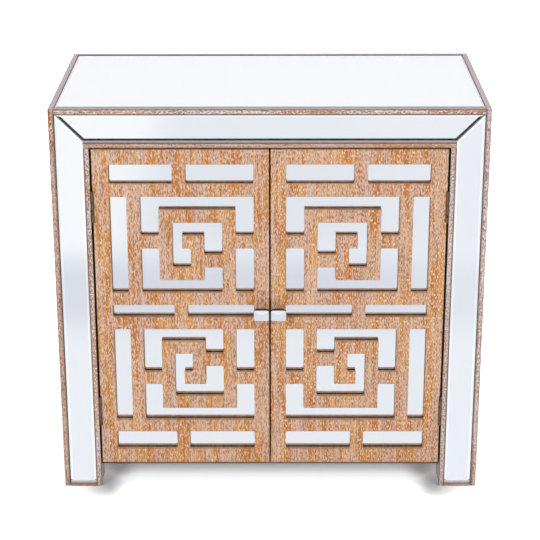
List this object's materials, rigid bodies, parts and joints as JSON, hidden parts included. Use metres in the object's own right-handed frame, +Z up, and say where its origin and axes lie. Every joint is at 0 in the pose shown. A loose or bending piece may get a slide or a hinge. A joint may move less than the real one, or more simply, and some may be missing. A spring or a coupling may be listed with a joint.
{
  "type": "sideboard",
  "caption": "Low two-door sideboard of limed wood with a glass top, bevelled mirror strips round the doors and Greek-key fretwork over mirrored door panels.",
  "frame": {"origin": "on the floor under the middle of the whole cabinet, knobs included", "axes": "+X to the right as seen from the front, +Y towards the back, +Z up; the doors face -Y"},
  "size_m": [0.8, 0.4624, 0.758],
  "materials": {
    "limed_wood": "limed open-grain oak under a matt clear coat",
    "limed_edge": "heavily limed oak edging under a matt clear coat",
    "inside_wood": "stained board, matt",
    "hardboard": "bare pressed board, matt",
    "silvered_glass": "clear glass silvered on the back, edges ground to a shallow bevel",
    "chrome": "polished chromium plate",
    "aged_brass": "darkened antique brass, satin",
    "zinc": "zinc-plated steel, satin",
    "catch_plastic": "brown moulded plastic, matt"
  },
  "bodies": {
    "carcass": {"left_side": "limed_wood", "right_side": "limed_wood", "bottom_board": "inside_wood", "top_board": "limed_wood", "back_board": "hardboard", "left_stile": "limed_wood", "right_stile": "limed_wood", "top_rail": "limed_wood", "left_front_foot": "limed_wood", "right_front_foot": "limed_wood", "left_rear_foot": "limed_wood", "right_rear_foot": "limed_wood", "front_apron": "inside_wood", "left_outer_bead": "limed_edge", "right_outer_bead": "limed_edge", "left_inner_bead": "limed_edge", "right_inner_bead": "limed_edge", "head_bead": "limed_edge", "left_foot_bead": "limed_edge", "right_foot_bead": "limed_edge", "top_front_bead": "limed_edge", "top_back_bead": "limed_edge", "top_left_bead": "limed_edge", "top_right_bead": "limed_edge", "top_glass": "silvered_glass", "left_strip_glass": "silvered_glass", "right_strip_glass": "silvered_glass", "top_strip_glass": "silvered_glass", "shelf": "inside_wood", "left_front_shelf_pin": "zinc", "left_rear_shelf_pin": "zinc", "right_front_shelf_pin": "zinc", "right_rear_shelf_pin": "zinc", "left_catch": "catch_plastic", "right_catch": "catch_plastic", "left_upper_hinge_frame_leaf": "aged_brass", "left_upper_hinge_pin": "aged_brass", "left_lower_hinge_frame_leaf": "aged_brass", "left_lower_hinge_pin": "aged_brass", "right_upper_hinge_frame_leaf": "aged_brass", "right_upper_hinge_pin": "aged_brass", "right_lower_hinge_frame_leaf": "aged_brass", "right_lower_hinge_pin": "aged_brass"},
    "left_door": {"left_fretwork": "limed_wood", "left_door_board": "inside_wood", "left_door_glass": "silvered_glass", "left_knob": "chrome", "left_knob_screw": "zinc", "left_strike_plate": "zinc", "left_upper_hinge_door_leaf": "aged_brass", "left_lower_hinge_door_leaf": "aged_brass"},
    "right_door": {"right_fretwork": "limed_wood", "right_door_board": "inside_wood", "right_door_glass": "silvered_glass", "right_knob": "chrome", "right_knob_screw": "zinc", "right_strike_plate": "zinc", "right_upper_hinge_door_leaf": "aged_brass", "right_lower_hinge_door_leaf": "aged_brass"}
  },
  "joints": [
    {"name": "left_door_hinge", "type": "hinge", "parent": "carcass", "child": "left_door", "pos_m": [-0.32555, -0.20635, 0], "axis": [0, 0, -1], "range_deg": [0, 165]},
    {"name": "right_door_hinge", "type": "hinge", "parent": "carcass", "child": "right_door", "pos_m": [0.32555, -0.20635, 0], "axis": [0, 0, 1], "range_deg": [0, 165]}
  ]
}
